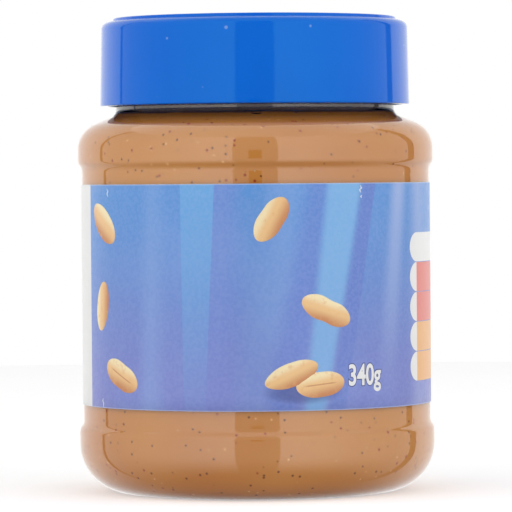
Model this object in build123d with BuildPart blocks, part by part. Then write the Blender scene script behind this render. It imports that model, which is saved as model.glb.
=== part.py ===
from build123d import *
import os
from math import cos, radians, tan

# Screw-top jar of spread: a clear blown jar, the spread that fills it, a label wrapped
# round it and a moulded screw lid. The origin is the centre of the ring that the jar
# stands on, +Z is up, and the front of the label faces -Y. Sizes are in millimetres.

# Jar, outside
body_diameter = 75.6  # across the two bands that stand out above and below the label
neck_inset = 8.2  # how far the root of the screw thread lies inside the bands
foot_inset = 8.0  # how far the standing ring lies inside the bands
ring_width = 2.4  # flat ring that touches the table
push_up = 2.5  # rise of the bottom inside the ring
push_up_run = 2.9  # width of the slope up to it
heel_slope = 15.0  # degrees above level, where the side leaves the ring
lower_band_top = 13.3  # height of the corner where the lower band turns in
panel_recess = 0.85  # how far the label panel lies behind the bands
panel_height = 53.9
upper_band_height = 6.85  # from the panel's upper step to the shoulder's corner
step_slope = 35.0  # degrees from upright, of the steps beside the panel
shoulder_slope = 22.0  # degrees above level
neck_height = 19.0  # from the shoulder's inner corner to the rim

# Jar, roundings
ring_rounding = 2.0
foot_rounding = 1.5
heel_start = 0.25  # straight stretch between the ring's rounding and the heel's arc
step_radius = 2.0
shoulder_radius = 6.0
neck_fillet = 2.0
rim_rounding = 0.5
gate_diameter = 5.0  # mark of the injection point under the bottom
gate_height = 0.5

# Jar, walls
base_wall = 1.2
side_wall = 0.7
neck_wall = 1.7

# Screw thread, one start, right-handed
thread_pitch = 4.23
thread_turns = 1.2
thread_depth = 1.3
thread_root_width = 2.0
thread_crest_width = 0.9
thread_start = 7.8  # below the rim, where the jar's thread begins
thread_root_bury = 0.15  # how far a thread's root reaches into its wall
thread_clearance = 0.35  # between each thread and the wall that it faces

# Lid
lid_gap = 1.85  # from the shoulder's inner corner up to the lower edge
lid_skirt_wall = 1.65  # at the lower edge
lid_draft = 1.15  # degrees that the skirt leans in
lid_top_wall = 1.5
lid_edge_radius = 1.65
lid_lip_rounding = 0.4
lid_panel_inset = 2.44  # how far the raised centre of the top lies inside the edge
lid_panel_rise = 0.77
lid_panel_rounding = 0.35

# Spread
spread_gap = 18.6  # from the rim down to the top of the spread

# Label
label_thickness = 0.1
label_lower_margin = 4.05  # above the panel's lower corner
label_upper_margin = 3.3  # below the panel's upper corner
label_overlap = 14.0  # degrees of the seam where the ends lie double, at the back

# Radii and heights that follow from the sizes above
body_radius = body_diameter / 2
neck_radius = body_radius - neck_inset
panel_radius = body_radius - panel_recess
foot_radius = body_radius - foot_inset
ring_inner_radius = foot_radius - ring_width
heel_corner = foot_inset * tan(radians(heel_slope))
heel_reach = foot_inset / cos(radians(heel_slope)) - heel_start
heel_reach -= foot_rounding * tan(radians(heel_slope / 2))
heel_radius = heel_reach / tan(radians(90 - heel_slope) / 2)
step_rise = panel_recess / tan(radians(step_slope))
panel_bottom = lower_band_top + step_rise
panel_top = panel_bottom + panel_height
shoulder_corner = panel_top + step_rise + upper_band_height
neck_corner = shoulder_corner + (body_radius - neck_radius) * tan(radians(shoulder_slope))
rim_height = neck_corner + neck_height
spread_level = rim_height - spread_gap

# Outside of the jar from the middle of the bottom up to the rim: each corner's radius
# and height, its rounding, and the wall of the stretch that runs on from it.
side = [
    (0, push_up, 0, base_wall),
    (ring_inner_radius - push_up_run, push_up, ring_rounding, base_wall),
    (ring_inner_radius, 0, ring_rounding, base_wall),
    (foot_radius, 0, foot_rounding, base_wall),
    (body_radius, heel_corner, heel_radius, side_wall),
    (body_radius, lower_band_top, step_radius, side_wall),
    (panel_radius, panel_bottom, step_radius, side_wall),
    (panel_radius, panel_top, step_radius, side_wall),
    (body_radius, panel_top + step_rise, step_radius, side_wall),
    (body_radius, shoulder_corner, shoulder_radius, side_wall),
    (neck_radius, neck_corner, neck_fillet, neck_wall),
    (neck_radius, rim_height, rim_rounding, neck_wall),
]
corners = [Vector(radius, height) for radius, height, rounding, wall in side]
roundings = [rounding for radius, height, rounding, wall in side[1:-1]]
walls = [wall for radius, height, rounding, wall in side]


def inside_corner(index):
    """Corner of the inside, a wall's thickness from the stretches before and after."""
    way_in = (corners[index] - corners[index - 1]).normalized()
    way_out = (corners[index + 1] - corners[index]).normalized()
    turn = way_in.cross(way_out).Z
    shift = (way_out * walls[index - 1] - way_in * walls[index]) / turn
    return corners[index] + shift


def inside_rounding(index):
    """Rounding of that corner: tighter where the wall bends round it, else wider."""
    way_in = corners[index] - corners[index - 1]
    way_out = corners[index + 1] - corners[index]
    wall = min(walls[index - 1], walls[index])
    if way_in.cross(way_out).Z > 0:
        return max(roundings[index - 1] - wall, rim_rounding)
    return roundings[index - 1] + wall


inner_numbers = range(1, len(corners) - 1)
floor_middle = Vector(0, push_up + base_wall)
bore_top = Vector(neck_radius - neck_wall, rim_height)
inner_corners = [floor_middle] + [inside_corner(number) for number in inner_numbers] + [bore_top]
inner_roundings = [inside_rounding(number) for number in inner_numbers]


def thread_ridge(root_radius, crest_radius, start_height):
    """One helical ridge about the Z axis, its root sunk a little into the wall."""
    outwards = 1 if crest_radius > root_radius else -1
    buried_radius = root_radius - outwards * thread_root_bury
    with BuildPart(mode=Mode.PRIVATE) as ridge:
        with BuildLine() as path:
            Helix(
                pitch=thread_pitch,
                height=thread_pitch * thread_turns,
                radius=root_radius,
                center=(0, 0, start_height),
            )
        with BuildSketch(Plane.XZ):
            with BuildLine():
                Polyline(
                    (buried_radius, start_height - thread_root_width / 2),
                    (root_radius, start_height - thread_root_width / 2),
                    (crest_radius, start_height - thread_crest_width / 2),
                    (crest_radius, start_height + thread_crest_width / 2),
                    (root_radius, start_height + thread_root_width / 2),
                    (buried_radius, start_height + thread_root_width / 2),
                    close=True,
                )
            make_face()
        sweep(path=path.wire(), is_frenet=True)
    return ridge.part


# Clear jar: a wall turned about the axis, the thread on its neck and the gate mark
neck_thread = thread_ridge(neck_radius, neck_radius + thread_depth, rim_height - thread_start)

with BuildPart() as jar:
    with BuildSketch(Plane.XZ):
        with BuildLine():
            FilletPolyline(corners, radius=roundings)
            FilletPolyline(inner_corners, radius=inner_roundings)
            Line(corners[0], inner_corners[0])
            Line(corners[-1], inner_corners[-1])
        make_face()
    revolve(axis=Axis.Z)
    fillet(jar.faces().sort_by(Axis.Z)[-1].edges(), radius=rim_rounding)
    add(neck_thread)
    with Locations((0, 0, push_up - gate_height / 2)):
        Cylinder(gate_diameter / 2, gate_height)
jar.part.label = "jar"

# Spread: fills the inside up to its level
with BuildPart() as peanut_butter:
    with BuildSketch(Plane.XZ):
        with BuildLine():
            FilletPolyline(inner_corners, radius=inner_roundings)
            Polyline(inner_corners[-1], (0, rim_height), inner_corners[0])
        make_face()
    revolve(axis=Axis.Z)
    split(bisect_by=Plane.XY.offset(spread_level), keep=Keep.BOTTOM)
peanut_butter.part.label = "peanut_butter"

# Label: one turn of film on the panel, its ends doubled at the back
label_bottom = panel_bottom + label_lower_margin
label_height = panel_height - label_lower_margin - label_upper_margin
label_radius = panel_radius + label_thickness

with BuildPart() as label:
    with BuildSketch(Plane.XY.offset(label_bottom)):
        Circle(label_radius)
        Circle(panel_radius, mode=Mode.SUBTRACT)
    extrude(amount=label_height)
    seam_plane = Plane(origin=(0, 0, label_bottom), x_dir=(0, 1, 0), z_dir=(1, 0, 0))
    with BuildSketch(seam_plane.rotated((0, 0, -label_overlap / 2))):
        with Locations((label_radius, label_height / 2)):
            Rectangle(label_thickness * 2, label_height)
    revolve(axis=Axis.Z, revolution_arc=label_overlap)
label.part.label = "label"

# Lid: a cap seated on the rim, with a raised centre and a thread inside its skirt
lid_top = rim_height + lid_top_wall
lid_bottom = neck_corner + lid_gap
lid_bore_radius = neck_radius + thread_depth + thread_clearance
lid_radius = lid_bore_radius + lid_skirt_wall
lid_shelf = lid_top - lid_panel_rise
lid_shelf_radius = lid_radius - (lid_shelf - lid_bottom) * tan(radians(lid_draft))
lid_panel_radius = lid_shelf_radius - lid_panel_inset
lid_thread = thread_ridge(
    lid_bore_radius,
    neck_radius + thread_clearance,
    rim_height - thread_start - thread_pitch / 2,
)

with BuildPart() as lid:
    with BuildSketch(Plane.XZ):
        with BuildLine():
            FilletPolyline(
                (0, lid_top),
                (lid_panel_radius, lid_top),
                (lid_panel_radius, lid_shelf),
                (lid_shelf_radius, lid_shelf),
                (lid_radius, lid_bottom),
                (lid_bore_radius, lid_bottom),
                (lid_bore_radius, rim_height),
                (0, rim_height),
                radius=[
                    lid_panel_rounding,
                    lid_panel_rounding,
                    lid_edge_radius,
                    lid_lip_rounding,
                    lid_lip_rounding,
                    lid_lip_rounding,
                ],
            )
            Line((0, lid_top), (0, rim_height))
        make_face()
    revolve(axis=Axis.Z)
    add(lid_thread)
lid.part.label = "lid"

os.makedirs("parts", exist_ok=True)
for piece in (jar, peanut_butter, label, lid):
    export_step(piece.part, f"parts/{piece.part.label}.step")
    print(piece.part.label, round(piece.part.volume, 1), "mm3")
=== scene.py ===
import math
import random
import bmesh
import bpy
from mathutils import Matrix, Vector


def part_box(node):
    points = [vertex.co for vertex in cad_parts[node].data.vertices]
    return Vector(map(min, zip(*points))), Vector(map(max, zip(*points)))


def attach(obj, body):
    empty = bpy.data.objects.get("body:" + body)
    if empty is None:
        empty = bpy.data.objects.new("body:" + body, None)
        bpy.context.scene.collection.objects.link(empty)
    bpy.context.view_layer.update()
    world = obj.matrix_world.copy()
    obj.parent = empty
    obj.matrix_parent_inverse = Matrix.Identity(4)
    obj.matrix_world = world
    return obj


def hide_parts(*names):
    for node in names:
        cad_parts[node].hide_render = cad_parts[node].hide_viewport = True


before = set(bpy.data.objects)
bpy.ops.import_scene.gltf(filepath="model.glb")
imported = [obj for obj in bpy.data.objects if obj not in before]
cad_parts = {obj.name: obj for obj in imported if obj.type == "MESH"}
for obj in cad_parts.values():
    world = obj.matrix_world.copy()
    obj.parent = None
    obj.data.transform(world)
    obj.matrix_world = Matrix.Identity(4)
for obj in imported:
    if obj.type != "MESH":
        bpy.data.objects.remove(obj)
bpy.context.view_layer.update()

mm = 0.001
jarLow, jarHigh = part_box("jar")
lidLow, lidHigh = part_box("lid")
labelLow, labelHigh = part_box("label")
spreadLow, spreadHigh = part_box("peanut_butter")
labelRadius = labelHigh[0]  # outside of the film, seam left out
turnSteps = 192  # divisions of every round piece
print("frame loaded", jarHigh, lidHigh)


# shared mesh helpers

def finishPiece(name, mesh, material, smooth=True):
    piece = bpy.data.objects.new(name, mesh)
    bpy.context.scene.collection.objects.link(piece)
    piece.data.materials.append(material)
    for face in piece.data.polygons:
        face.use_smooth = smooth
    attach(piece, "root")
    return piece


def roundCorners(corners, fineness=10):
    # corners are (radius, height, rounding); each rounding becomes an arc of short chords
    points = []
    for index, (radius, height, rounding) in enumerate(corners):
        here = Vector((radius, height))
        if rounding == 0 or index in (0, len(corners) - 1):
            points.append(here)
            continue
        before = (Vector(corners[index - 1][:2]) - here).normalized()
        after = (Vector(corners[index + 1][:2]) - here).normalized()
        halfAngle = before.angle(after) / 2
        reach = rounding / math.tan(halfAngle)
        centre = here + (before + after).normalized() * (rounding / math.sin(halfAngle))
        start = here + before * reach - centre
        end = here + after * reach - centre
        sweep = start.angle_signed(end)
        for step in range(fineness + 1):
            points.append(centre + Matrix.Rotation(-sweep * step / fineness, 2) @ start)
    return points


def fillStretches(points, longest):
    # long straight stretches get extra points, so that ring after ring stays even
    filled = [points[0]]
    for before, after in zip(points, points[1:]):
        count = max(1, round((after - before).length / longest))
        for step in range(1, count + 1):
            filled.append(before.lerp(after, step / count))
    return filled


def turnProfile(points):
    # one full turn of a profile of (radius, height) millimetres about the jar's axis
    work = bmesh.new()
    ring = [work.verts.new((point[0] * mm, 0, point[1] * mm)) for point in points]
    edges = [work.edges.new(pair) for pair in zip(ring, ring[1:])]
    bmesh.ops.spin(
        work, geom=ring + edges, cent=(0, 0, 0), axis=(0, 0, 1), dvec=(0, 0, 0),
        angle=math.tau, steps=turnSteps, use_merge=True, use_duplicate=False,
    )
    bmesh.ops.remove_doubles(work, verts=work.verts, dist=1e-6)
    bmesh.ops.recalc_face_normals(work, faces=work.faces)
    return work


def asMesh(name, work):
    mesh = bpy.data.meshes.new(name)
    work.to_mesh(mesh)
    work.free()
    return mesh


def wrapOnLabel(work, lift):
    # flat work in metres, x along the label, y up it and z out of it, is laid round the film
    for vert in work.verts:
        angle = vert.co.x / labelRadius
        reach = labelRadius + lift + vert.co.z
        vert.co = Vector((reach * math.sin(angle), -reach * math.cos(angle), vert.co.y))


def cutUpright(work, gap):
    # flat work is cut into narrow upright strips, so that it can bend round the label
    low = min(vert.co.x for vert in work.verts)
    high = max(vert.co.x for vert in work.verts)
    for step in range(1, int((high - low) / (gap * mm)) + 1):
        bmesh.ops.bisect_plane(
            work, geom=work.verts[:] + work.edges[:] + work.faces[:],
            plane_co=(low + step * gap * mm, 0, 0), plane_no=(1, 0, 0),
        )


# shader helpers

def startMaterial(name):
    material = bpy.data.materials.new(name)
    material.use_nodes = True
    tree = material.node_tree
    shader = tree.nodes["Principled BSDF"]
    return material, tree, shader


def addNode(tree, kind, **settings):
    node = tree.nodes.new(kind)
    for key, value in settings.items():
        setattr(node, key, value)
    return node


def maths(tree, operation, first, second=None, third=None, clamp=False):
    node = addNode(tree, "ShaderNodeMath", operation=operation, use_clamp=clamp)
    for socket, value in zip(node.inputs, (first, second, third)):
        if value is None:
            continue
        if isinstance(value, (int, float)):
            socket.default_value = value
        else:
            tree.links.new(value, socket)
    return node.outputs[0]


def mixColours(tree, factor, first, second, blend="MIX"):
    node = addNode(tree, "ShaderNodeMix", data_type="RGBA", blend_type=blend)
    for socket, value in ((node.inputs[0], factor), (node.inputs[6], first), (node.inputs[7], second)):
        if isinstance(value, (int, float)):
            socket.default_value = value
        elif isinstance(value, tuple):
            socket.default_value = value + (1,)
        else:
            tree.links.new(value, socket)
    return node.outputs[2]


def makeGrainGroup():
    # uneven value between 0 and 1, shared by all finishes
    group = bpy.data.node_groups.new("grain", "ShaderNodeTree")
    group.interface.new_socket("Place", in_out="INPUT", socket_type="NodeSocketVector")
    group.interface.new_socket("Scale", in_out="INPUT", socket_type="NodeSocketFloat")
    group.interface.new_socket("Detail", in_out="INPUT", socket_type="NodeSocketFloat")
    group.interface.new_socket("Value", in_out="OUTPUT", socket_type="NodeSocketFloat")
    enter = group.nodes.new("NodeGroupInput")
    leave = group.nodes.new("NodeGroupOutput")
    texture = group.nodes.new("ShaderNodeTexNoise")
    group.links.new(enter.outputs["Place"], texture.inputs["Vector"])
    group.links.new(enter.outputs["Scale"], texture.inputs["Scale"])
    group.links.new(enter.outputs["Detail"], texture.inputs["Detail"])
    group.links.new(texture.outputs["Fac"], leave.inputs["Value"])
    return group


def makeRippleGroup():
    # slightly uneven surface
    group = bpy.data.node_groups.new("ripple", "ShaderNodeTree")
    group.interface.new_socket("Height", in_out="INPUT", socket_type="NodeSocketFloat")
    group.interface.new_socket("Strength", in_out="INPUT", socket_type="NodeSocketFloat")
    group.interface.new_socket("Normal", in_out="OUTPUT", socket_type="NodeSocketVector")
    enter = group.nodes.new("NodeGroupInput")
    leave = group.nodes.new("NodeGroupOutput")
    raised = group.nodes.new("ShaderNodeBump")
    raised.inputs["Distance"].default_value = 0.0004
    group.links.new(enter.outputs["Height"], raised.inputs["Height"])
    group.links.new(enter.outputs["Strength"], raised.inputs["Strength"])
    group.links.new(raised.outputs["Normal"], leave.inputs["Normal"])
    return group


grainGroup = makeGrainGroup()
rippleGroup = makeRippleGroup()


def noise(tree, place, scale, detail=3):
    node = addNode(tree, "ShaderNodeGroup", node_tree=grainGroup)
    node.inputs["Scale"].default_value = scale
    node.inputs["Detail"].default_value = detail
    tree.links.new(place, node.inputs["Place"])
    return node.outputs["Value"]


def ripple(tree, place, scale, strength, detail=2):
    node = addNode(tree, "ShaderNodeGroup", node_tree=rippleGroup)
    node.inputs["Strength"].default_value = strength
    tree.links.new(noise(tree, place, scale, detail), node.inputs["Height"])
    return node.outputs["Normal"]


def ramp(tree, factor, stops):
    node = addNode(tree, "ShaderNodeMapRange", interpolation_type="SMOOTHSTEP")
    tree.links.new(factor, node.inputs["Value"])
    for key, value in zip(("From Min", "From Max", "To Min", "To Max"), stops):
        node.inputs[key].default_value = value
    return node.outputs["Result"]


def objectPlace(tree):
    return addNode(tree, "ShaderNodeTexCoord").outputs["Object"]


def linear(red, green, blue):
    # a screen colour out of 255 as the linear value that shaders take
    return tuple(((c / 255 + 0.055) / 1.055) ** 2.4 if c > 10 else c / 255 / 12.92 for c in (red, green, blue))


# camera

view = {"lens": 292.7, "distance": 0.886, "eye": 0.0668, "pitch": 1.11, "roll": 0.45, "aside": 0.0}

camera = bpy.data.objects.new("camera", bpy.data.cameras.new("camera"))
camera.data.sensor_width = 36
camera.data.lens = view["lens"]
camera.data.clip_start = 0.01
camera.location = (view["aside"], -view["distance"], view["eye"])
facing = Matrix.Rotation(math.radians(90 - view["pitch"]), 4, "X")
camera.rotation_euler = (facing @ Matrix.Rotation(math.radians(-view["roll"]), 4, "Z")).to_euler()
bpy.context.scene.collection.objects.link(camera)
bpy.context.scene.camera = camera


# lamps: one broad soft panel at each side of the camera's line, for the light itself

panels = {"near": 14.5, "far": 117, "distance": 0.75, "height": 1.5, "centre": 0.3, "power": 8.0}


def addPanel(name, side):
    # the panel's two upright edges lie in the directions near and far, in degrees from the camera's
    half = math.radians(panels["far"] - panels["near"]) / 2
    middle = math.radians(panels["far"] + panels["near"]) / 2 * side
    lamp = bpy.data.lights.new(name, "AREA")
    lamp.shape = "RECTANGLE"
    lamp.size = 2 * panels["distance"] * math.tan(half)
    lamp.size_y = panels["height"]
    lamp.energy = panels["power"]
    holder = bpy.data.objects.new(name, lamp)
    place = Vector((math.sin(middle), -math.cos(middle), 0)) * panels["distance"]
    holder.location = place + Vector((0, 0, panels["centre"]))
    holder.rotation_euler = (math.radians(90), 0, middle)
    holder.visible_camera = False
    holder.visible_glossy = False
    bpy.context.scene.collection.objects.link(holder)


addPanel("panelLeft", -1)
addPanel("panelRight", 1)


# world: white where it is seen, an even fill on the surfaces, and for what they mirror a studio with
# two tall panels, a dimmer strip and the lens between them, and a canopy overhead

room = {
    "fill": 0.46, "panel": 2.5, "panelEnd": 1.25, "canopy": 1.9, "strip": 1.0, "lens": 0.02, "backdrop": 1.5, "backdropEnd": 1.2,
    "gap": 0.25, "stripHalf": 14.5, "lensHalf": 4.2, "lensTop": 2.6, "panelEndLeft": 116.5, "gapEndLeft": 119.6,
    "panelEndRight": 116.6, "gapEndRight": 124.4, "canopyFrom": 43.0, "lensBottom": -2.0,
    "tableFrom": -9.0, "tableTo": -60.0, "table": 0.45,
}

world = bpy.data.worlds.new("room")
bpy.context.scene.world = world
world.use_nodes = True
worldTree = world.node_tree
way = addNode(worldTree, "ShaderNodeSeparateXYZ")
worldTree.links.new(addNode(worldTree, "ShaderNodeTexCoord").outputs["Generated"], way.inputs[0])
forward = maths(worldTree, "MULTIPLY", way.outputs["Y"], -1)
turnAway = maths(worldTree, "MULTIPLY", maths(worldTree, "ARCTAN2", way.outputs["X"], forward), 180 / math.pi)
lift = maths(worldTree, "MULTIPLY", maths(worldTree, "ARCSINE", way.outputs["Z"]), 180 / math.pi)


def chooseLevel(mask, inside, outside):
    node = addNode(worldTree, "ShaderNodeMix", data_type="FLOAT")
    for socket, value in ((node.inputs[0], mask), (node.inputs[2], outside), (node.inputs[3], inside)):
        if isinstance(value, (int, float)):
            socket.default_value = value
        else:
            worldTree.links.new(value, socket)
    return node.outputs[0]


def between(value, low, high, soft):
    rising = ramp(worldTree, value, (low - soft, low + soft, 0, 1))
    falling = ramp(worldTree, value, (high - soft, high + soft, 1, 0))
    return maths(worldTree, "MULTIPLY", rising, falling)


backdropLevel = ramp(worldTree, maths(worldTree, "ABSOLUTE", turnAway), (122, 165, room["backdrop"], room["backdropEnd"]))
level = chooseLevel(between(turnAway, -room["gapEndLeft"], room["gapEndRight"], 0.5), room["gap"], backdropLevel)
panelLevel = ramp(worldTree, maths(worldTree, "ABSOLUTE", turnAway), (14.5, 117, room["panel"], room["panelEnd"]))
level = chooseLevel(between(turnAway, -room["panelEndLeft"], room["panelEndRight"], 0.5), panelLevel, level)
level = chooseLevel(between(turnAway, -room["stripHalf"], room["stripHalf"], 0.6), room["strip"], level)
lensMask = maths(
    worldTree, "MULTIPLY", between(turnAway, -room["lensHalf"], room["lensHalf"], 0.4), between(lift, room["lensBottom"], room["lensTop"], 0.4)
)
level = chooseLevel(lensMask, room["lens"], level)
level = chooseLevel(ramp(worldTree, lift, (room["tableTo"], room["tableFrom"], 1, 0)), room["table"], level)
level = chooseLevel(ramp(worldTree, lift, (room["canopyFrom"] - 1, room["canopyFrom"] + 1, 0, 1)), room["canopy"], level)
paths = addNode(worldTree, "ShaderNodeLightPath")
seen = maths(worldTree, "ADD", paths.outputs["Is Camera Ray"], paths.outputs["Is Transmission Ray"], clamp=True)
strength = chooseLevel(paths.outputs["Is Glossy Ray"], level, room["fill"])
strength = chooseLevel(seen, 1.0, strength)
worldTree.links.new(strength, worldTree.nodes["Background"].inputs["Strength"])
worldTree.nodes["Background"].inputs["Color"].default_value = (1, 1, 1, 1)


# floor: pale, evened out to white for the camera, with the jar's own shadow left on it

floorLook = {"radius": 0.6, "paint": 0.90, "glow": 0.38}

work = bmesh.new()
bmesh.ops.create_circle(work, cap_ends=True, segments=96, radius=floorLook["radius"])
floor = bpy.data.objects.new("floor", asMesh("floor", work))
bpy.context.scene.collection.objects.link(floor)
floorPaint, tree, shader = startMaterial("floorPaint")
grain = noise(tree, objectPlace(tree), 60)
tone = ramp(tree, grain, (0.3, 0.7, floorLook["paint"] - 0.01, floorLook["paint"] + 0.01))
tree.links.new(tone, shader.inputs["Base Color"])
shader.inputs["Roughness"].default_value = 0.9
shader.inputs["Specular IOR Level"].default_value = 0.0
floorPaths = addNode(tree, "ShaderNodeLightPath")
shown = maths(tree, "ADD", floorPaths.outputs["Is Camera Ray"], floorPaths.outputs["Is Glossy Ray"])
shown = maths(tree, "ADD", shown, floorPaths.outputs["Is Transmission Ray"], clamp=True)
shader.inputs["Emission Color"].default_value = (1, 1, 1, 1)
tree.links.new(maths(tree, "MULTIPLY", shown, floorLook["glow"]), shader.inputs["Emission Strength"])
floor.data.materials.append(floorPaint)
floor.location.z = -0.0002
floor.visible_glossy = False  # what the jar mirrors downwards is the table level set above

print("camera, lamps and floor placed")


# jar: a blown wall turned about the axis, as outlined by its corners in millimetres

jarShape = {
    "bandRadius": 37.78, "panelRecess": 0.85, "footInset": 8.0, "ringWidth": 2.4, "pushUp": 2.5, "pushUpRun": 2.9,
    "heelSlope": 15.0, "heelRadius": 10.4, "lowerBandTop": 13.3, "stepSlope": 35.0, "panelHeight": 53.9,
    "upperBand": 6.85, "shoulderSlope": 22.0, "shoulderRadius": 6.0, "neckInset": 8.2, "neckFillet": 2.0,
    "baseWall": 1.2, "sideWall": 0.7, "neckWall": 1.7, "stepRadius": 2.0, "rimRounding": 0.5,
}
band = jarShape["bandRadius"]
panelRadius = band - jarShape["panelRecess"]
neckRadius = band - jarShape["neckInset"]
rimHeight = jarHigh[2] / mm - 0.01
stepRise = jarShape["panelRecess"] / math.tan(math.radians(jarShape["stepSlope"]))
panelBottom = jarShape["lowerBandTop"] + stepRise
panelTop = panelBottom + jarShape["panelHeight"]
shoulderCorner = panelTop + stepRise + jarShape["upperBand"]
shoulderSlope = math.radians(jarShape["shoulderSlope"])
heelCorner = jarShape["footInset"] * math.tan(math.radians(jarShape["heelSlope"]))


def sideCorners(wall, neckWall, floorWall):
    # corners of the surface that lies a wall's thickness inside the jar's outside; 0 is the outside itself
    foot = band - jarShape["footInset"]
    ring = foot - jarShape["ringWidth"]
    heelShift = wall * math.tan(math.radians(90 - jarShape["heelSlope"]) / 2)
    stepShift = wall * math.tan(math.radians(jarShape["stepSlope"]) / 2)
    coneShift = wall * math.tan((math.pi / 2 - shoulderSlope) / 2)
    neck = neckRadius - neckWall
    neckCorner = shoulderCorner - coneShift + (band - wall - neck) * math.tan(shoulderSlope)
    return [
        (0, jarShape["pushUp"] + floorWall, 0),
        (ring - jarShape["pushUpRun"], jarShape["pushUp"] + floorWall, 2.0),
        (ring, floorWall, 1.0),
        (foot, floorWall, 1.0),
        (band - wall, heelCorner + heelShift + (floorWall - wall) * 0.8, jarShape["heelRadius"] - floorWall),
        (band - wall, jarShape["lowerBandTop"] - stepShift, jarShape["stepRadius"] - wall),
        (panelRadius - wall, panelBottom - stepShift, jarShape["stepRadius"] + wall),
        (panelRadius - wall, panelTop + stepShift, jarShape["stepRadius"] + wall),
        (band - wall, panelTop + stepRise + stepShift, jarShape["stepRadius"] - wall),
        (band - wall, shoulderCorner - coneShift, jarShape["shoulderRadius"] - wall),
        (neck, neckCorner, jarShape["neckFillet"] + wall),
        (neck, rimHeight, 0),
    ]


def clearPlastic():
    material, tree, shader = startMaterial("clearPlastic")
    place = objectPlace(tree)
    shader.inputs["Transmission Weight"].default_value = 1.0
    shader.inputs["IOR"].default_value = 1.57
    haze = noise(tree, place, 260, 4)
    tree.links.new(ramp(tree, haze, (0.35, 0.75, 0.02, 0.06)), shader.inputs["Roughness"])
    tint = mixColours(tree, noise(tree, place, 40), (0.985, 0.99, 0.985), (0.96, 0.975, 0.97))
    tree.links.new(tint, shader.inputs["Base Color"])
    tree.links.new(ripple(tree, place, 55, 0.05), shader.inputs["Normal"])
    light = addNode(tree, "ShaderNodeLightPath")
    through = maths(tree, "ADD", light.outputs["Is Shadow Ray"], light.outputs["Is Diffuse Ray"], clamp=True)
    clear = addNode(tree, "ShaderNodeBsdfTransparent")
    join = addNode(tree, "ShaderNodeMixShader")
    tree.links.new(through, join.inputs[0])
    tree.links.new(shader.outputs[0], join.inputs[1])
    tree.links.new(clear.outputs[0], join.inputs[2])
    tree.links.new(join.outputs[0], tree.nodes["Material Output"].inputs["Surface"])
    return material


outside = fillStretches(roundCorners(sideCorners(0, 0, 0)), 3.0)
inside = fillStretches(
    roundCorners(sideCorners(jarShape["sideWall"], jarShape["neckWall"], jarShape["baseWall"])), 3.0
)
jarPiece = finishPiece(
    "jarWall", asMesh("jarWall", turnProfile(outside + inside[::-1])), clearPlastic()
)
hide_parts("jar")
print("jar wall", len(jarPiece.data.polygons))


# spread: fills the jar, reaches just into its wall and ends in an uneven line in the neck

spreadShape = {"reach": 0.06, "wave": 0.15, "pull": 0.5, "seed": 4}


def spreadPaste():
    material, tree, shader = startMaterial("spreadPaste")
    place = objectPlace(tree)
    body = mixColours(tree, ramp(tree, noise(tree, place, 28, 3), (0.3, 0.7, 0, 1)),
                      linear(189, 121, 55), linear(198, 133, 63))
    for scale, size, colour, amount in (
        (700, 0.19, linear(92, 42, 22), 0.85),
        (520, 0.16, linear(150, 48, 28), 0.9),
        (620, 0.14, linear(236, 194, 136), 0.6),
    ):
        specks = addNode(tree, "ShaderNodeTexVoronoi")
        specks.inputs["Scale"].default_value = scale
        tree.links.new(place, specks.inputs["Vector"])
        split = addNode(tree, "ShaderNodeSeparateColor")
        tree.links.new(specks.outputs["Color"], split.inputs[0])
        chosen = maths(tree, "GREATER_THAN", split.outputs[0], 0.76)
        spot = ramp(tree, specks.outputs["Distance"], (size * 0.5, size * 1.4, amount, 0))
        body = mixColours(tree, maths(tree, "MULTIPLY", spot, chosen), body, colour)
    # deeper in the lid's shade, near the fill line
    height = addNode(tree, "ShaderNodeSeparateXYZ")
    tree.links.new(place, height.inputs[0])
    shade = ramp(tree, height.outputs["Z"], (0.0763, 0.0799, 0, 0.70))
    body = mixColours(tree, shade, body, (0.10, 0.035, 0.010))
    # painted shade: a dark navy wavy band along the spread's top rim, standing for the shadow gap under the lid with
    # the lid's blue reflected in it
    wavy = maths(tree, "MULTIPLY_ADD", noise(tree, place, 150, 3), 0.0006, -0.0003)
    rimShadeLevel = maths(tree, "ADD", height.outputs["Z"], wavy)
    body = mixColours(tree, ramp(tree, rimShadeLevel, (0.07938, 0.07948, 0, 0.9)), body, (0.030, 0.028, 0.052))
    tree.links.new(body, shader.inputs["Base Color"])
    shader.inputs["Roughness"].default_value = 0.5
    shader.inputs["Specular IOR Level"].default_value = 0.1
    tree.links.new(ripple(tree, place, 300, 0.10, 4), shader.inputs["Normal"])
    return material


def cutAt(points, height):
    # the profile up to a height, with its last point on it
    kept = []
    for before, after in zip(points, points[1:]):
        kept.append(before)
        if before[1] <= height < after[1] and before[0] > 5:
            kept.append(before.lerp(after, (height - before[1]) / (after[1] - before[1])))
            break
    return kept


spreadTop = spreadHigh[2] / mm - 0.2
reach = spreadShape["reach"]
fillLine = fillStretches(
    roundCorners(sideCorners(
        jarShape["sideWall"] - reach, jarShape["neckWall"] - reach, jarShape["baseWall"] - reach
    )), 1.5)
sideLine = cutAt(fillLine, spreadTop - spreadShape["wave"])
edgeRadius = sideLine[-1][0]
topLine = [
    Vector((edgeRadius * (1 - step / 16), spreadTop - spreadShape["wave"] - spreadShape["pull"] * (1 - (1 - step / 16) ** 6)))
    for step in range(1, 17)
]
work = turnProfile(sideLine + topLine)
draw = random.Random(spreadShape["seed"])
swells = [(draw.randint(3, 42), draw.uniform(0, math.tau), draw.uniform(0.3, 1)) for swell in range(9)]
for vert in work.verts:
    if vert.co.z > (spreadTop - 1.5) * mm:
        angle = math.atan2(vert.co.y, vert.co.x)
        wave = sum(size * math.sin(angle * count + start) for count, start, size in swells) / 3.5
        nearness = min(1, math.hypot(vert.co.x, vert.co.y) / (edgeRadius * mm)) ** 2
        share = min(1, (vert.co.z / mm - (spreadTop - 1.5)) / 1.2)
        vert.co.z += max(-1, min(1, wave)) * spreadShape["wave"] * mm * nearness * share
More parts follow.
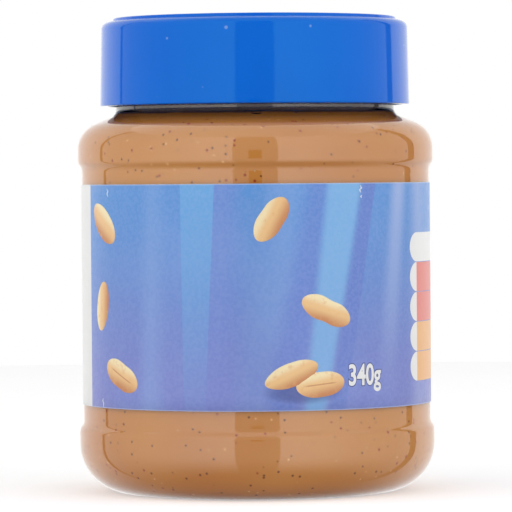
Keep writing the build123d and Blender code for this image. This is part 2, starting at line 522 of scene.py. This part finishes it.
spreadPiece = finishPiece("spreadFill", asMesh("spreadFill", work), spreadPaste())
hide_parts("peanut_butter")
print("spread", len(spreadPiece.data.polygons))


# a streaky film of spread left on the inside of the neck above the fill line, coloured dark grey-brown as painted
# shade of the lid over it

smearShade = {"low": 80.0, "high": 81.9, "wallGap": 0.02, "cover": 0.62}


def smearShadePaste():
    material, tree, shader = startMaterial("smearShadePaste")
    place = addNode(tree, "ShaderNodeMapping")
    tree.links.new(objectPlace(tree), place.inputs["Vector"])
    place.inputs["Scale"].default_value = (1, 1, 4)
    streaks = noise(tree, place.outputs["Vector"], 120, 4)
    # painted shade: the film's dark grey-brown stands for the lid's shadow over it, not the spread's own colour
    tone = mixColours(tree, streaks, (0.105, 0.070, 0.062), (0.150, 0.108, 0.100))
    tree.links.new(tone, shader.inputs["Base Color"])
    shader.inputs["Specular IOR Level"].default_value = 0.1
    tree.links.new(ramp(tree, streaks, (0.3, 0.6, smearShade["cover"] - 0.12, smearShade["cover"] + 0.12)), shader.inputs["Alpha"])
    return material


boreRadius = neckRadius - jarShape["neckWall"]
smearShadeLine = [
    Vector((boreRadius - smearShade["wallGap"], smearShade["low"] + (smearShade["high"] - smearShade["low"]) * step / 4)) for step in range(5)
]
smearShadePiece = finishPiece("neckSmearShade", asMesh("neckSmearShade", turnProfile(smearShadeLine)), smearShadePaste())
print("smearShade", len(smearShadePiece.data.polygons))


# lid: turned from its corners, with a raised centre

lidShape = {
    "lipRadius": 32.88, "draft": 1.15, "edgeRadius": 1.65, "panelInset": 2.44, "panelRise": 0.77,
    "bore": 31.23, "topWall": 1.5, "lipBead": 0.12, "beadHeight": 0.9,
}

# pale moulding specks: degrees round from the front, height and size in millimetres
lidSpecks = (
    (-10.2, 97.2, 0.16), (20.8, 97.4, 0.06), (-33.5, 95.2, 0.06), (-19.0, 85.0, 0.08), (-38.0, 83.2, 0.06),
    (150.0, 92.0, 0.12), (-120.0, 88.0, 0.08), (75.0, 94.0, 0.06),
)


def lidPlastic():
    material, tree, shader = startMaterial("lidPlastic")
    place = objectPlace(tree)
    shade = mixColours(tree, ramp(tree, noise(tree, place, 35, 3), (0.3, 0.7, 0, 1)),
                       (0.0, 0.114, 0.650), (0.0, 0.125, 0.685))
    for turned, high, size in lidSpecks:
        angle = math.radians(turned)
        spot = addNode(tree, "ShaderNodeVectorMath", operation="DISTANCE")
        tree.links.new(place, spot.inputs[0])
        spot.inputs[1].default_value = (math.sin(angle) * 32.5 * mm, -math.cos(angle) * 32.5 * mm, high * mm)
        mark = ramp(tree, spot.outputs["Value"], (size * mm, (size + 0.35) * mm, 0.45, 0))
        shade = mixColours(tree, mark, shade, linear(175, 190, 232))
    tree.links.new(shade, shader.inputs["Base Color"])
    grain = noise(tree, place, 900, 2)
    tree.links.new(ramp(tree, grain, (0.3, 0.7, 0.05, 0.08)), shader.inputs["Roughness"])
    shader.inputs["IOR"].default_value = 1.5
    shader.inputs["Specular IOR Level"].default_value = 0.28
    shader.inputs["Specular Tint"].default_value = (0.3, 1.0, 0.8, 1)
    tree.links.new(ripple(tree, place, 90, 0.05), shader.inputs["Normal"])
    return material


lidTop = lidHigh[2] / mm - 0.01
lidBottom = lidLow[2] / mm
shelf = lidTop - lidShape["panelRise"]
shelfRadius = lidShape["lipRadius"] - (shelf - lidBottom) * math.tan(math.radians(lidShape["draft"]))
panelEdge = shelfRadius - lidShape["panelInset"]
ceiling = lidTop - lidShape["topWall"]
lidCorners = [
    (0, ceiling, 0), (lidShape["bore"], ceiling, 0.4), (lidShape["bore"], lidBottom, 0.35),
    (lidShape["lipRadius"], lidBottom, 0.35),
    (lidShape["lipRadius"] - 0.03, lidBottom + lidShape["beadHeight"], 0.1),
    (shelfRadius, shelf, lidShape["edgeRadius"]), (panelEdge, shelf, 0.3),
    (panelEdge, lidTop, 0.35), (0, lidTop, 0),
]
lidPiece = finishPiece(
    "lidCap", asMesh("lidCap", turnProfile(fillStretches(roundCorners(lidCorners), 3.0))), lidPlastic()
)
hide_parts("lid")
print("lid", len(lidPiece.data.polygons))


# label: the film, its rays and glows, a painted sheen, and the white back part

labelPrint = {
    "top": labelHigh[2] / mm, "bottom": labelLow[2] / mm, "whiteFrom": -69.0, "whiteTo": -180.0,
}
raysAndSheen = (
    # place along the label at its top and bottom, width at top and bottom, softness left and right,
    # colour, amount at top and bottom
    (-6.2, -8.0, 4.6, 6.0, 0.15, 3.0, (0.15, 0.22, 0.60), 0.55, 0.3),
    (-12.3, -13.1, 7.4, 4.7, 0.12, 0.12, (0.135, 0.385, 0.730), 0.8, 0.1),
    (6.0, -1.0, 7.0, 8.0, 3.0, 3.0, (0.20, 0.36, 0.72), 0.5, 0.3),
    (13.6, 5.4, 5.2, 6.0, 2.2, 1.8, (0.115, 0.200, 0.600), 0.55, 0.6),
    (19.3, 12.1, 8.1, 4.4, 1.2, 1.2, (0.20, 0.455, 0.780), 0.85, 0.75),
    (25.3, 17.0, 3.6, 3.8, 1.0, 0.2, (0.115, 0.190, 0.570), 0.8, 0.55),
    (34.5, 29.5, 4.0, 5.0, 2.0, 2.0, (0.36, 0.46, 0.76), 0.85, 0.0),
    (42.5, 42.5, 5.0, 5.0, 3.0, 3.0, (0.38, 0.46, 0.74), 0.5, 0.2),
    # this last row is no printed ray but a painted sheen: a soft pale upright streak of reflected light on the film
    (-22.5, -23.5, 4.0, 5.0, 2.5, 3.0, (0.26, 0.40, 0.74), 0.3, 0.45),
)


def labelPlaces(tree):
    # distance along the label from its front middle, and height, in millimetres
    split = addNode(tree, "ShaderNodeSeparateXYZ")
    tree.links.new(objectPlace(tree), split.inputs[0])
    back = maths(tree, "MULTIPLY", split.outputs["Y"], -1)
    angle = maths(tree, "ARCTAN2", split.outputs["X"], back)
    along = maths(tree, "MULTIPLY", angle, labelRadius / mm)
    height = maths(tree, "DIVIDE", split.outputs["Z"], mm)
    return along, height, angle


def labelFilm():
    material, tree, shader = startMaterial("labelFilm")
    place = objectPlace(tree)
    along, height, angle = labelPlaces(tree)
    low, high = labelPrint["bottom"], labelPrint["top"]
    rise = ramp(tree, height, (low, high, 0, 1))
    shade = mixColours(tree, rise, (0.182, 0.213, 0.570), (0.088, 0.275, 0.650))
    clouds = noise(tree, place, 38, 2)
    shade = mixColours(tree, ramp(tree, clouds, (0.45, 0.75, 0, 0.35)), shade, (0.22, 0.36, 0.72))
    for top, bottom, wideTop, wideBottom, softLeft, softRight, colour, topAmount, bottomAmount in raysAndSheen:
        fall = maths(tree, "MULTIPLY_ADD", height, 1 / (high - low), -low / (high - low))
        middle = maths(tree, "MULTIPLY_ADD", fall, top - bottom, bottom)
        half = maths(tree, "MULTIPLY_ADD", fall, (wideTop - wideBottom) / 2, wideBottom / 2)
        offset = maths(tree, "SUBTRACT", along, middle)
        leftIn = maths(tree, "ADD", offset, half)
        rightIn = maths(tree, "SUBTRACT", half, offset)
        mask = maths(
            tree, "MULTIPLY", ramp(tree, leftIn, (-softLeft, softLeft, 0, 1)),
            ramp(tree, rightIn, (-softRight, softRight, 0, 1)),
        )
        mask = maths(tree, "MULTIPLY", mask, maths(tree, "MULTIPLY_ADD", fall, topAmount - bottomAmount, bottomAmount))
        shade = mixColours(tree, mask, shade, colour)
    # faint grain of the print
    grain = noise(tree, place, 1500, 2)
    shade = mixColours(tree, ramp(tree, grain, (0.35, 0.65, 0, 0.10)), shade, (0.42, 0.50, 0.80))
    # soft shadow below the two kernels at the lower right
    shadowX = maths(tree, "MULTIPLY_ADD", along, 1 / 9.0, -9.6 / 9.0)
    shadowY = maths(tree, "MULTIPLY_ADD", height, 1 / 2.6, -22.3 / 2.6)
    shadowX = maths(tree, "MULTIPLY", shadowX, shadowX)
    shadowY = maths(tree, "MULTIPLY", shadowY, shadowY)
    far = maths(tree, "ADD", shadowX, shadowY)
    shade = mixColours(tree, ramp(tree, far, (0.15, 1.1, 0.6, 0)), shade, (0.030, 0.040, 0.180))
    # paler cut edges above and below
    rim = maths(tree, "ABSOLUTE", maths(tree, "SUBTRACT", height, (low + high) / 2))
    shade = mixColours(tree, ramp(tree, rim, ((high - low) / 2 - 0.28, (high - low) / 2 - 0.05, 0, 0.55)), shade, (0.62, 0.70, 0.85))
    degrees = maths(tree, "MULTIPLY", angle, 180 / math.pi)
    white = maths(tree, "LESS_THAN", degrees, labelPrint["whiteFrom"])
    farSide = maths(tree, "GREATER_THAN", degrees, 115.0)
    plain = maths(tree, "ADD", white, farSide, clamp=True)
    paper = mixColours(tree, noise(tree, place, 120), (0.74, 0.74, 0.73), (0.80, 0.80, 0.79))
    shade = mixColours(tree, plain, shade, paper)
    tree.links.new(shade, shader.inputs["Base Color"])
    tree.links.new(ramp(tree, noise(tree, place, 700, 3), (0.3, 0.7, 0.30, 0.40)), shader.inputs["Roughness"])
    shader.inputs["IOR"].default_value = 1.45
    tree.links.new(ripple(tree, place, 110, 0.06, 3), shader.inputs["Normal"])
    return material


lidInset = 0.04
filmCorners = [
    Vector((panelRadius + 0.002, labelPrint["bottom"])), Vector((labelRadius / mm - lidInset, labelPrint["bottom"])),
    Vector((labelRadius / mm, labelPrint["bottom"] + lidInset)), Vector((labelRadius / mm, labelPrint["top"] - lidInset)),
    Vector((labelRadius / mm - lidInset, labelPrint["top"])), Vector((panelRadius + 0.002, labelPrint["top"])),
]
filmPiece = finishPiece(
    "labelWrap", asMesh("labelWrap", turnProfile(fillStretches(filmCorners, 3.0))), labelFilm()
)
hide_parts("label")
print("label", len(filmPiece.data.polygons))

# seam: at the back the film's two ends lie double

seam = {"degrees": 14.0, "lift": 0.004, "thick": 0.09}

work = bmesh.new()
bmesh.ops.create_grid(work, x_segments=16, y_segments=24, size=0.5)
seamWide = math.radians(seam["degrees"]) * labelRadius
bmesh.ops.scale(work, vec=(seamWide, (labelPrint["top"] - labelPrint["bottom"]) * mm, 1), verts=work.verts)
middle = (labelPrint["top"] + labelPrint["bottom"]) / 2 * mm
bmesh.ops.translate(work, vec=(math.pi * labelRadius, middle, 0), verts=work.verts)
wrapOnLabel(work, seam["lift"] * mm)
bmesh.ops.recalc_face_normals(work, faces=work.faces)
bmesh.ops.solidify(work, geom=work.faces[:], thickness=-seam["thick"] * mm)
seamPiece = finishPiece("labelSeam", asMesh("labelSeam", work), filmPiece.data.materials[0], smooth=False)


# nicks: white worn spots on the film's edges, zigzags of narrow strokes

nicks = (
    {"along": -36.6, "height": 64.2, "run": ((0, 0), (0.5, -0.5), (0.1, -1.0), (0.5, -1.7))},
    {"along": 23.0, "height": 64.6, "run": ((0, 0), (0.3, -0.6), (-0.2, -0.9), (0.1, -1.5))},
    {"along": 23.4, "height": 62.6, "run": ((0, 0), (-0.3, -0.3), (-0.1, -0.6))},
    {"along": -38.8, "height": 20.6, "run": ((0, 0), (-0.2, -0.6), (0.2, -1.1), (0.0, -1.9))},
)


def nickMaterial():
    material, tree, shader = startMaterial("wornSpot")
    tone = mixColours(tree, noise(tree, objectPlace(tree), 900), (0.70, 0.72, 0.76), (0.84, 0.85, 0.86))
    tree.links.new(tone, shader.inputs["Base Color"])
    shader.inputs["Roughness"].default_value = 0.6
    return material


work = bmesh.new()
for nick in nicks:
    left, right = [], []
    for order, (x, y) in enumerate(nick["run"]):
        half = 0.16 if 0 < order < len(nick["run"]) - 1 else 0.06
        for row, side in ((left, -half), (right, half)):
            row.append(work.verts.new(((nick["along"] + x + side) * mm, (nick["height"] + y) * mm, 0)))
    for order in range(len(left) - 1):
        work.faces.new((left[order], right[order], right[order + 1], left[order + 1]))
wrapOnLabel(work, 0.012 * mm)
bmesh.ops.recalc_face_normals(work, faces=work.faces)
finishPiece("labelNicks", asMesh("labelNicks", work), nickMaterial())
print("seam and nicks placed")


# kernels printed on the label, each a thin raised shape; measures in millimetres, tilt in degrees

kernels = (
    {"along": -38.1, "height": 57.0, "length": 11.0, "width": 6.3, "tilt": -42, "waist": 0.04, "tip": 0.12},
    {"along": -38.7, "height": 39.8, "length": 10.4, "width": 5.4, "tilt": 80, "waist": 0.04, "tip": 0.12},
    {"along": -32.0, "height": 25.5, "length": 10.8, "width": 5.9, "tilt": -26, "waist": 0.05, "tip": 0.02, "half": True},
    {"along": 3.2, "height": 57.8, "length": 10.4, "width": 5.9, "tilt": 56, "waist": 0.06, "tip": 0.08},
    {"along": 14.8, "height": 39.0, "length": 11.6, "width": 5.6, "tilt": -24, "waist": 0.08, "tip": 0.02},
    {"along": 7.2, "height": 26.0, "length": 11.8, "width": 5.5, "tilt": 20, "waist": 0.05, "tip": 0.16},
    {"along": 13.4, "height": 23.9, "length": 10.7, "width": 5.5, "tilt": 6, "waist": 0.03, "tip": 0.02, "half": True},
)
kernelLook = {"rings": 6, "outline": 56, "lift": 0.006, "rise": 0.030, "step": 0.006}


def kernelMaterial():
    material, tree, shader = startMaterial("kernelPrint")
    spot = addNode(tree, "ShaderNodeUVMap", uv_map="kernel")
    split = addNode(tree, "ShaderNodeSeparateXYZ")
    tree.links.new(spot.outputs["UV"], split.inputs[0])
    across = maths(tree, "MULTIPLY_ADD", split.outputs["Y"], 2, -1)
    endwise = maths(tree, "MULTIPLY_ADD", split.outputs["X"], 2, -1)
    lit = maths(tree, "MULTIPLY_ADD", endwise, -0.25, across)
    shade = mixColours(tree, ramp(tree, lit, (-1.0, 0.1, 0, 1)), linear(196, 128, 80), linear(236, 194, 138))
    shade = mixColours(tree, ramp(tree, lit, (0.1, 0.8, 0, 1)), shade, linear(246, 228, 184))
    mottle = noise(tree, objectPlace(tree), 700, 3)
    shade = mixColours(tree, ramp(tree, mottle, (0.52, 0.75, 0, 0.5)), shade, linear(222, 172, 116))
    halfMark = addNode(tree, "ShaderNodeAttribute", attribute_name="splitKernel")
    slit = ramp(tree, maths(tree, "ABSOLUTE", across), (0.015, 0.085, 0.75, 0))
    slit = maths(tree, "MULTIPLY", slit, ramp(tree, maths(tree, "ABSOLUTE", endwise), (0.45, 0.75, 1, 0)))
    slit = maths(tree, "MULTIPLY", slit, halfMark.outputs["Fac"])
    shade = mixColours(tree, slit, shade, linear(190, 124, 80))
    tree.links.new(shade, shader.inputs["Base Color"])
    shader.inputs["Roughness"].default_value = 0.35
    shader.inputs["IOR"].default_value = 1.45
    return material


def addKernel(work, uvLayer, halfLayer, kernel, order):
    # a round disc with rings, drawn out to the kernel's outline and raised towards its middle
    earlier = set(work.verts)
    start = bmesh.ops.create_circle(work, cap_ends=True, segments=kernelLook["outline"], radius=1)
    middle = start["verts"][0].link_faces[0]
    for ring in range(kernelLook["rings"] - 1):
        bmesh.ops.inset_region(
            work, faces=[middle], thickness=1 / kernelLook["rings"], use_even_offset=True, use_boundary=True
        )
    bmesh.ops.poke(work, faces=[middle])
    turn = Matrix.Rotation(math.radians(kernel["tilt"]), 2)
    for vert in work.verts:
        if vert in earlier:
            continue
        x, y, share = vert.co.x, vert.co.y, vert.co.to_2d().length
        for loop in vert.link_loops:
            loop[uvLayer].uv = (0.5 + x / 2, 0.5 + y / 2)
        vert[halfLayer] = 1.0 if kernel.get("half") else 0.0
        waist = 1 - kernel["waist"] * 2.2 * math.exp(-((x - 0.05) / 0.35) ** 2)
        narrow = 1 - kernel["tip"] * (x if x > 0 else -1.4 * x)
        flat = turn @ Vector((x * kernel["length"] / 2, y * kernel["width"] / 2 * waist * narrow))
        rise = kernelLook["lift"] + kernelLook["step"] * (order % 2) + kernelLook["rise"] * (1 - share ** 3)
        vert.co = Vector((kernel["along"] + flat.x, kernel["height"] + flat.y, rise)) * mm


work = bmesh.new()
uvLayer = work.loops.layers.uv.new("kernel")
halfLayer = work.verts.layers.float.new("splitKernel")
for order, kernel in enumerate(kernels):
    addKernel(work, uvLayer, halfLayer, kernel, order)
wrapOnLabel(work, 0)
bmesh.ops.recalc_face_normals(work, faces=work.faces)
finishPiece("kernelPrints", asMesh("kernelPrints", work), kernelMaterial())
print("kernels", len(kernels))


# weight, in white with a dark edge

weight = {"words": "340g", "along": 23.9, "height": 25.4, "size": 6.0, "narrow": 0.74, "edge": 0.056, "bold": 0.026}


def inkMaterial(name, first, second):
    material, tree, shader = startMaterial(name)
    tone = mixColours(tree, noise(tree, objectPlace(tree), 400), first, second)
    tree.links.new(tone, shader.inputs["Base Color"])
    shader.inputs["Roughness"].default_value = 0.35
    shader.inputs["IOR"].default_value = 1.45
    return material


def letterPiece(name, offset, lift, material):
    curve = bpy.data.curves.new(name, "FONT")
    curve.body = weight["words"]
    curve.size = weight["size"]
    curve.align_x = "CENTER"
    curve.align_y = "CENTER"
    curve.offset = offset * weight["size"]
    curve.resolution_u = 6
    holder = bpy.data.objects.new(name, curve)
    bpy.context.scene.collection.objects.link(holder)
    flat = bpy.data.meshes.new_from_object(holder.evaluated_get(bpy.context.evaluated_depsgraph_get()))
    bpy.data.objects.remove(holder)
    letters = bmesh.new()
    letters.from_mesh(flat)
    bmesh.ops.remove_doubles(letters, verts=letters.verts, dist=1e-5)
    bmesh.ops.scale(letters, vec=(weight["narrow"] * mm, mm, mm), verts=letters.verts)
    bmesh.ops.translate(letters, vec=(weight["along"] * mm, weight["height"] * mm, 0), verts=letters.verts)
    cutUpright(letters, 0.5)
    wrapOnLabel(letters, lift * mm)
    return finishPiece(name, asMesh(name, letters), material)


darkInk = inkMaterial("darkInk", linear(34, 48, 110), linear(44, 58, 124))
whiteInk = inkMaterial("whiteInk", (0.78, 0.78, 0.78), (0.84, 0.84, 0.84))
letterPiece("weightEdge", weight["edge"], 0.008, darkInk)
letterPiece("weightFill", weight["bold"], 0.014, whiteInk)
print("weight placed")


# table of plain colour fields at the right, each with a half-round tab

fields = {"left": 41.9, "right": 57.0, "tab": 3.2, "bottom": 23.6, "tall": 6.1, "gap": 0.14}
fieldColours = (
    (linear(232, 174, 112), linear(238, 182, 120)), (linear(232, 174, 112), linear(238, 182, 120)),
    (linear(222, 122, 112), linear(228, 130, 120)), (linear(222, 122, 112), linear(228, 130, 120)),
    ((0.80, 0.80, 0.79), (0.84, 0.84, 0.83)),
)
fieldPaints = [inkMaterial("field" + str(order + 1), *pair) for order, pair in enumerate(fieldColours)]
for order, paint in enumerate(fieldPaints):
    low = fields["bottom"] + order * (fields["tall"] + fields["gap"])
    work = bmesh.new()
    bmesh.ops.create_grid(work, x_segments=30, y_segments=4, size=0.5)
    wide = fields["right"] - fields["left"]
    bmesh.ops.scale(work, vec=(wide * mm, fields["tall"] * mm, 1), verts=work.verts)
    middle = (fields["left"] + wide / 2) * mm
    bmesh.ops.translate(work, vec=(middle, (low + fields["tall"] / 2) * mm, 0), verts=work.verts)
    wrapOnLabel(work, 0.012 * mm)
    bmesh.ops.recalc_face_normals(work, faces=work.faces)
    finishPiece("field" + str(order + 1), asMesh("field" + str(order + 1), work), paint)
    work = bmesh.new()
    bmesh.ops.create_circle(work, cap_ends=True, segments=32, radius=1)
    bmesh.ops.bisect_plane(
        work, geom=work.verts[:] + work.edges[:] + work.faces[:],
        plane_co=(0, 0, 0), plane_no=(1, 0, 0), clear_outer=True,
    )
    bmesh.ops.scale(work, vec=(fields["tab"] * mm, fields["tall"] / 2 * mm, 1), verts=work.verts)
    place = (fields["left"] * mm, (low + fields["tall"] / 2) * mm, 0)
    bmesh.ops.translate(work, vec=place, verts=work.verts)
    cutUpright(work, 0.5)
    wrapOnLabel(work, 0.016 * mm)
    finishPiece("tab" + str(order + 1), asMesh("tab" + str(order + 1), work), fieldPaints[4])
print("fields placed")

bpy.context.scene.view_settings.view_transform = "Standard"
